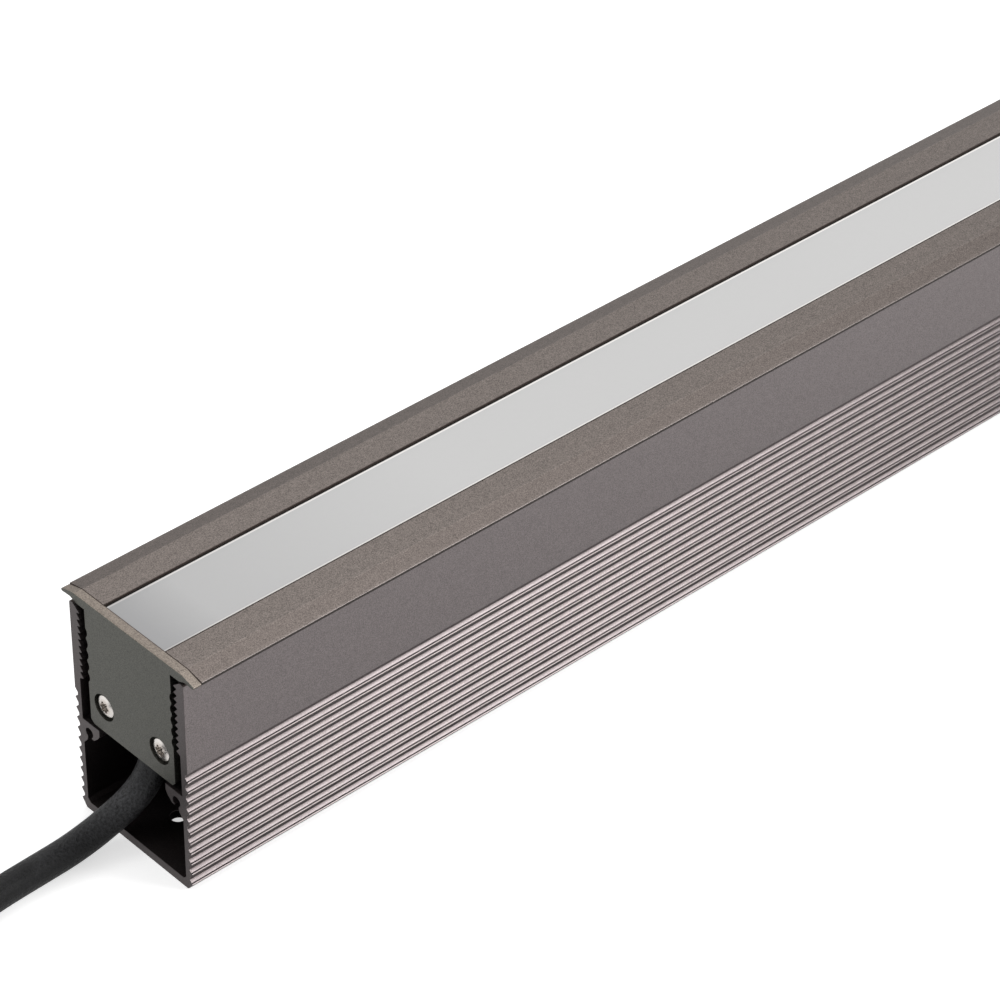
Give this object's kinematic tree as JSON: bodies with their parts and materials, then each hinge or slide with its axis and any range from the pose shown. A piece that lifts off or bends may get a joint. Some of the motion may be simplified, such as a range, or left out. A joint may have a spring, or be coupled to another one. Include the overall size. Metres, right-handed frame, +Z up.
{
  "type": "recessed linear wall washer light",
  "caption": "Long recessed light in a ribbed metal mounting channel, with a frosted lens along its top and a rubber cable that leaves at one end to an in-line plug.",
  "frame": {"origin": "centre of the channel's underside", "axes": "+X along the light away from the cable, +Y to the far side, +Z up towards the lens"},
  "size_m": [0.789, 0.0724, 0.0702],
  "materials": {
    "channel_metal": "matt anodised extrusion",
    "lamp_metal": "satin anodised extrusion",
    "cap_metal": "satin anodised, darker than the extrusion",
    "seal_rubber": "matt black",
    "screw_steel": "stainless steel",
    "lens_glass": "frosted white toughened glass",
    "reflector_white": "white reflector strip",
    "board_white": "white solder mask",
    "chip_yellow": "phosphor",
    "board_green": "green solder mask",
    "parts_dark": "electronic parts",
    "terminal_plastic": "light grey",
    "core_insulation": "coloured core insulation",
    "gland_plastic": "black polyamide",
    "spring_steel": "bright spring steel",
    "cable_rubber": "matt black rubber sheath, no print",
    "tie_plastic": "black wrap tie",
    "plug_rubber": "matt black moulded boot",
    "plug_plastic": "black polyamide",
    "insert_plastic": "dark grey",
    "pin_brass": "plated contact pins"
  },
  "bodies": {
    "channel_base": {"channel": "channel_metal", "cord_lead": "cable_rubber", "cord_hank": "cable_rubber", "cord_end": "cable_rubber", "cord_tie": "tie_plastic", "plug_boot": "plug_rubber", "plug_shell": "plug_plastic", "plug_insert": "insert_plastic", "plug_pins": "pin_brass", "plug_seal": "seal_rubber"},
    "lamp": {"lamp_housing": "lamp_metal", "end_cap_near": "cap_metal", "end_cap_far": "cap_metal", "cap_gasket_near": "seal_rubber", "cap_gasket_far": "seal_rubber", "cap_screws_near": "screw_steel", "cap_screws_far": "screw_steel", "lens": "lens_glass", "lens_seal": "seal_rubber", "reflector": "reflector_white", "light_board": "board_white", "light_chips": "chip_yellow", "board_screws": "screw_steel", "driver_board": "board_green", "driver_parts": "parts_dark", "terminal_block": "terminal_plastic", "conductors": "core_insulation", "gland_body": "gland_plastic", "gland_seal": "seal_rubber", "gland_nut": "gland_plastic", "clip_near_left": "spring_steel", "clip_near_right": "spring_steel", "clip_far_left": "spring_steel", "clip_far_right": "spring_steel", "clip_screws": "screw_steel"},
    "plug_ring": {"coupling_ring": "plug_plastic"}
  },
  "joints": [
    {"name": "lamp_lift", "type": "slide", "parent": "channel_base", "child": "lamp", "axis": [0, 0, 1], "range_m": [0, 0.05]},
    {"name": "ring_spin", "type": "hinge", "parent": "channel_base", "child": "plug_ring", "pos_m": [-0.529, -0.017, 0.0092], "axis": [1, 0, 0], "continuous": true}
  ]
}
